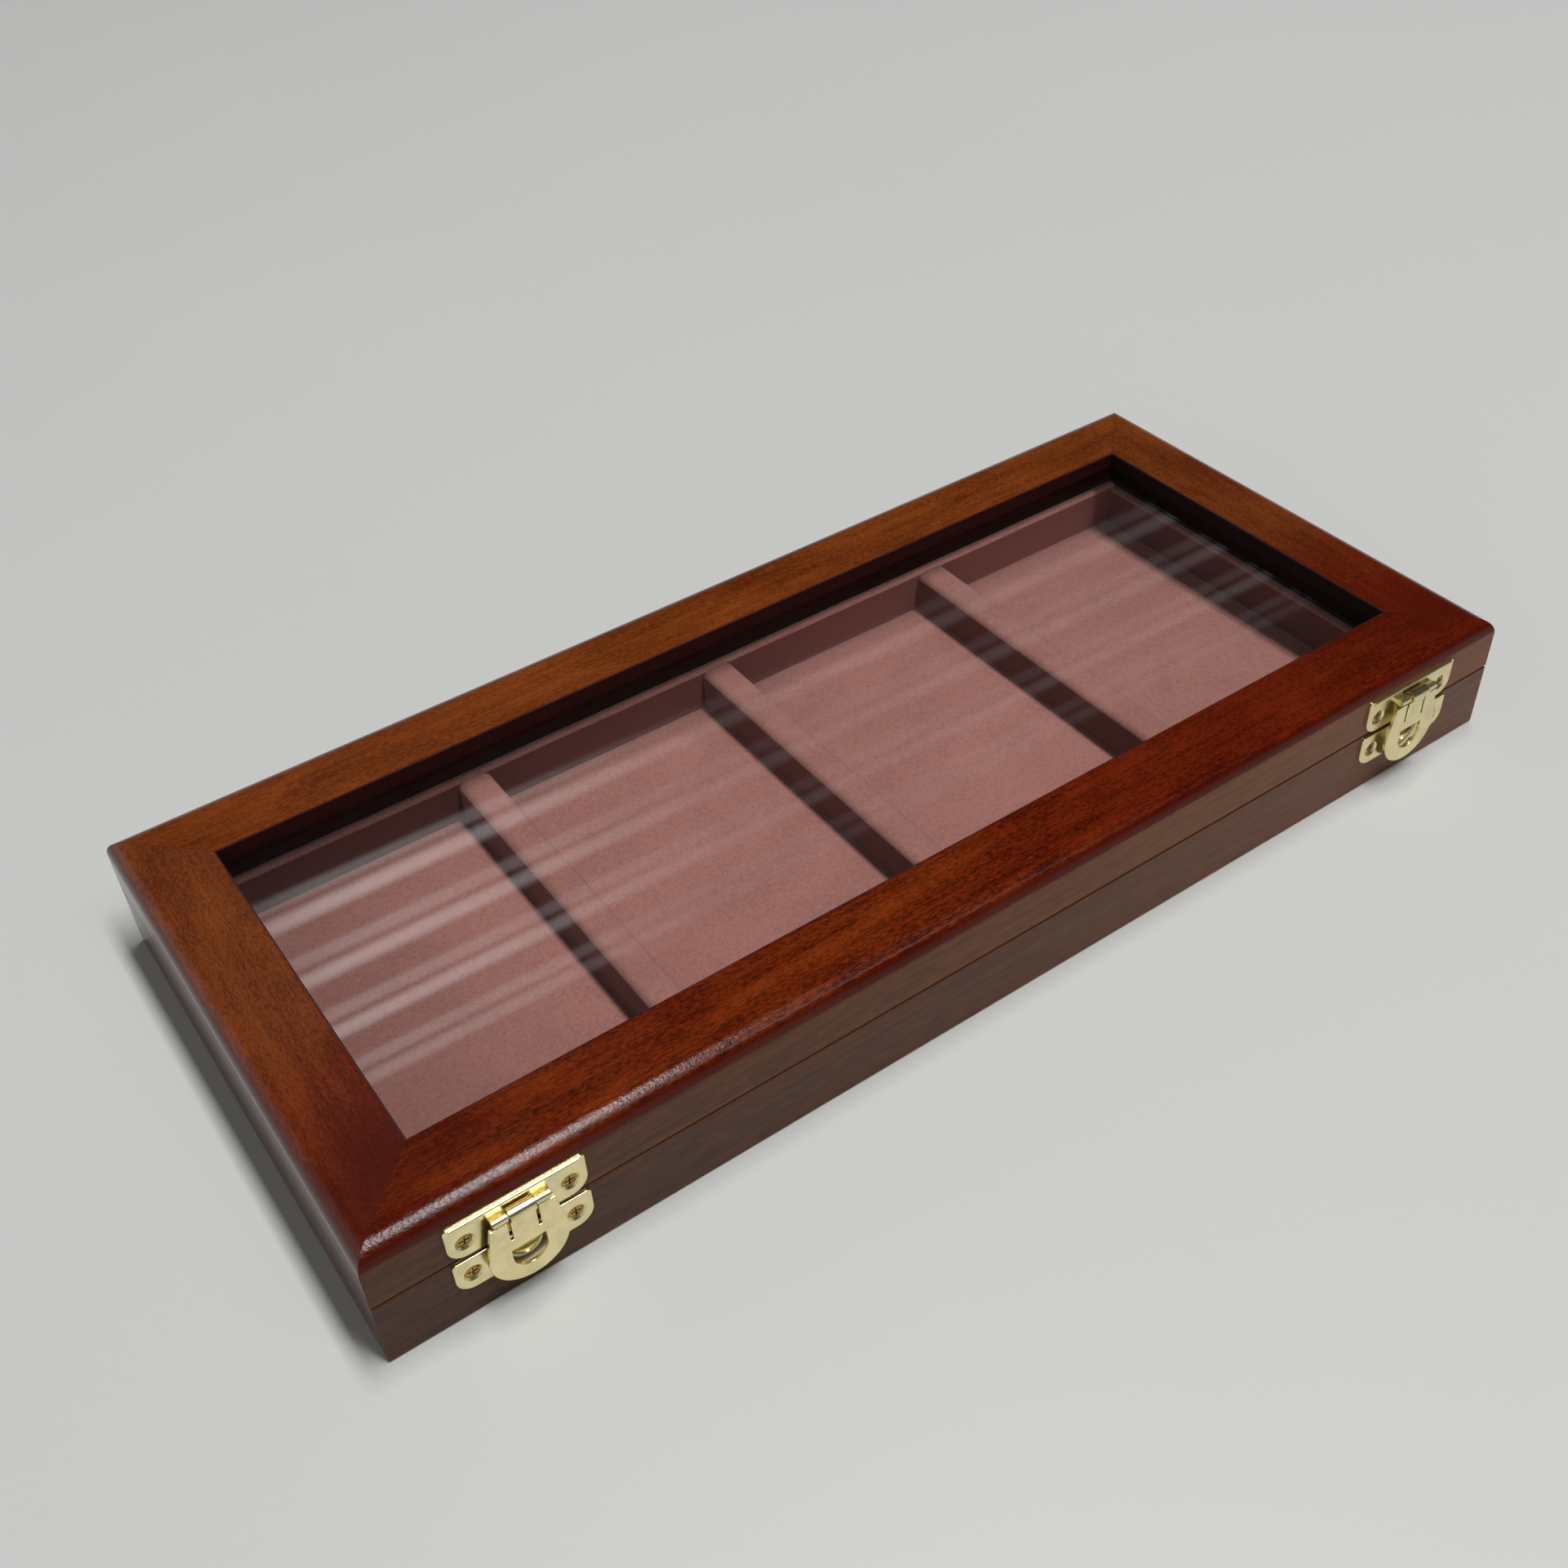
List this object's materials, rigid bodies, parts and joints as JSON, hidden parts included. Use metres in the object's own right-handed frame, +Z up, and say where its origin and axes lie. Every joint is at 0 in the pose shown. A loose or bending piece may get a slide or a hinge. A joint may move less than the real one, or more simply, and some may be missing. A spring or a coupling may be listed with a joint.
{
  "type": "medal display case",
  "caption": "Shallow hinged wooden display case with a glazed lid, a velour lining with cross dividers, and small brass swing catches.",
  "frame": {"origin": "on the surface that the case rests on, under the middle of its whole outline with the catches and hinges", "axes": "+X along the case's length, to the right as seen from the front; +Y from the front to the back; +Z up"},
  "size_m": [0.36, 0.1668, 0.038],
  "materials": {
    "lid_wood": "glossy reddish mahogany stain",
    "base_wood": "glossy reddish mahogany stain",
    "strip_wood": "dark stain",
    "plywood": "thin plywood with a brown stain",
    "velour": "short dusty-rose velour",
    "pane": "clear",
    "catch_brass": "polished, pale gold",
    "hinge_brass": "polished",
    "screw_brass": "brass-plated, cross-head"
  },
  "bodies": {
    "base": {"base_back_rail": "base_wood", "base_front_rail": "base_wood", "base_left_rail": "base_wood", "base_right_rail": "base_wood", "bottom_panel": "plywood", "divider_left": "velour", "divider_middle": "velour", "divider_right": "velour", "floor_pad": "velour", "left_hinge_base_leaf": "hinge_brass", "left_hinge_base_screws": "screw_brass", "left_hinge_pin": "hinge_brass", "left_lower_catch_plate": "catch_brass", "left_lower_catch_screws": "screw_brass", "lining_back": "velour", "lining_front": "velour", "lining_left": "velour", "lining_right": "velour", "right_hinge_base_leaf": "hinge_brass", "right_hinge_base_screws": "screw_brass", "right_hinge_pin": "hinge_brass", "right_lower_catch_plate": "catch_brass", "right_lower_catch_screws": "screw_brass"},
    "lid": {"glass_pane": "pane", "glazing_strip_back": "strip_wood", "glazing_strip_front": "strip_wood", "glazing_strip_left": "strip_wood", "glazing_strip_right": "strip_wood", "left_hasp_pin": "catch_brass", "left_hinge_lid_leaf": "hinge_brass", "left_hinge_lid_screws": "screw_brass", "left_upper_catch_plate": "catch_brass", "left_upper_catch_screws": "screw_brass", "lid_back_rail": "lid_wood", "lid_front_rail": "lid_wood", "lid_left_rail": "lid_wood", "lid_right_rail": "lid_wood", "right_hasp_pin": "catch_brass", "right_hinge_lid_leaf": "hinge_brass", "right_hinge_lid_screws": "screw_brass", "right_upper_catch_plate": "catch_brass", "right_upper_catch_screws": "screw_brass"},
    "left_hasp": {"left_hasp": "catch_brass"},
    "right_hasp": {"right_hasp": "catch_brass"}
  },
  "joints": [
    {"name": "lid_hinge", "type": "hinge", "parent": "base", "child": "lid", "pos_m": [0, 0.0812, 0.021], "axis": [-1, 0, 0], "range_deg": [0, 178]},
    {"name": "left_hasp_swing", "type": "hinge", "parent": "lid", "child": "left_hasp", "pos_m": [-0.144, -0.0816, 0.03], "axis": [-1, 0, 0], "range_deg": [0, 165]},
    {"name": "right_hasp_swing", "type": "hinge", "parent": "lid", "child": "right_hasp", "pos_m": [0.144, -0.0816, 0.03], "axis": [-1, 0, 0], "range_deg": [0, 165]}
  ]
}
